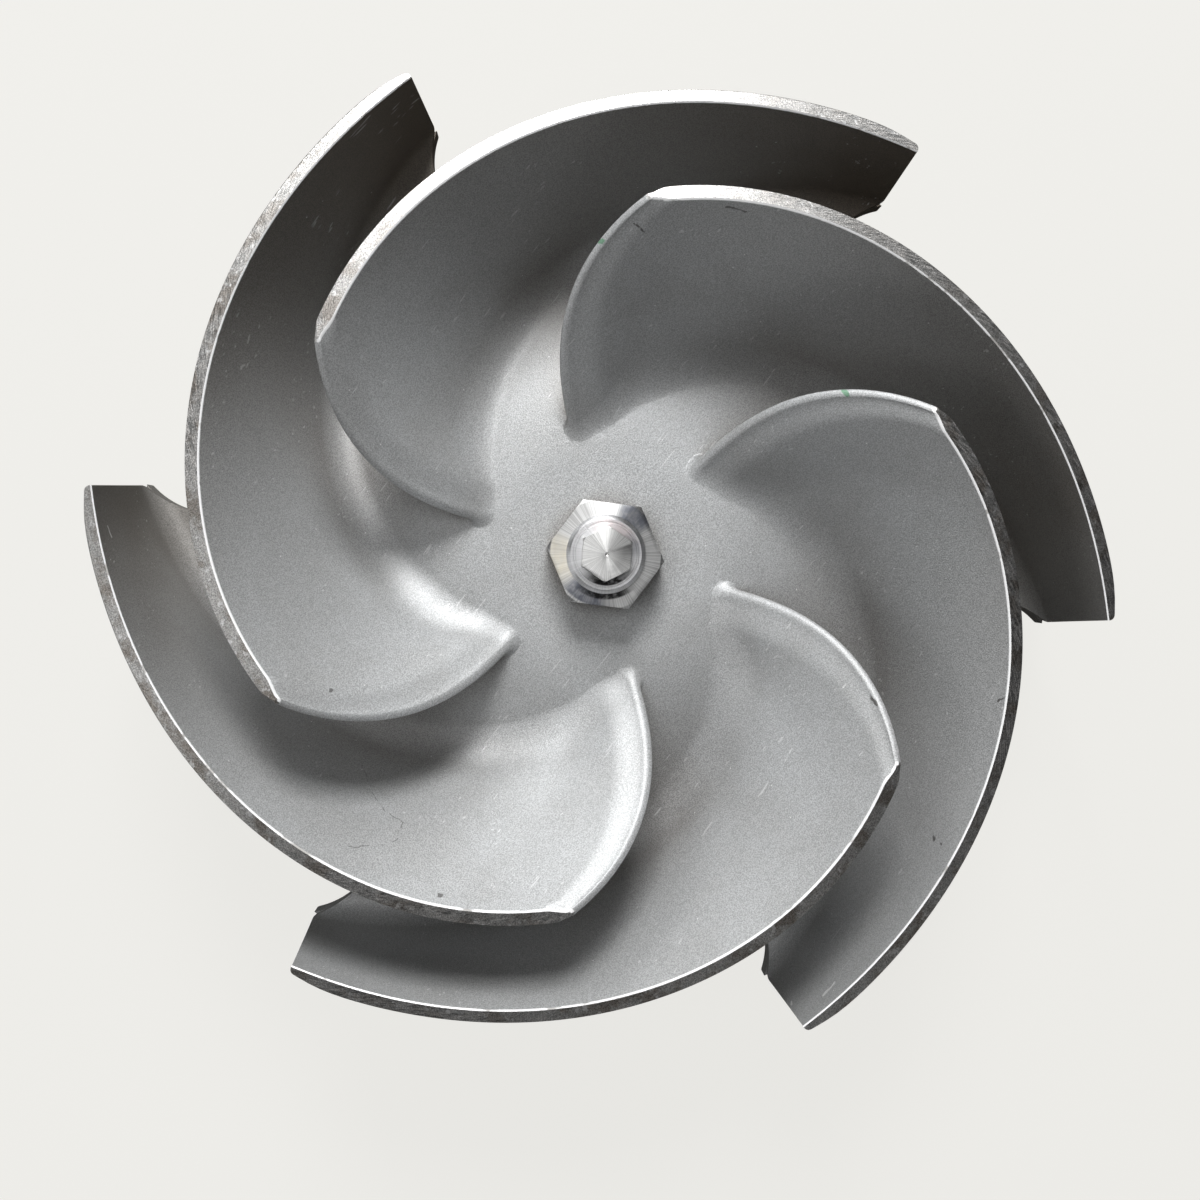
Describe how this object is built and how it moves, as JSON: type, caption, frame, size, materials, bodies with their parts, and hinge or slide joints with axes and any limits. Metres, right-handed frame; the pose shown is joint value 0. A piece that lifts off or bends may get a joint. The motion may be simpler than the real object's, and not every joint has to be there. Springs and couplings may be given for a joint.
{
  "type": "pump impeller",
  "caption": "Open pump impeller: cast hub, scalloped rear shroud and twisted backward-curved vanes in one piece, with its hexagon screw, washer and lock bolt.",
  "frame": {"origin": "centre of the hub's rear face, on the shaft axis", "axes": "+Z along the shaft axis towards the eye, +X through the outer end of one vane"},
  "size_m": [0.395, 0.395, 0.1212],
  "materials": {
    "blasted_cast_steel": "bead-blasted stainless steel casting, front edges turned bright",
    "bright_turned_steel": "bright turned and polished stainless steel"
  },
  "bodies": {
    "root": {"impeller_casting": "blasted_cast_steel", "impeller_screw": "bright_turned_steel", "lock_washer": "bright_turned_steel", "lock_bolt": "bright_turned_steel"}
  },
  "joints": []
}
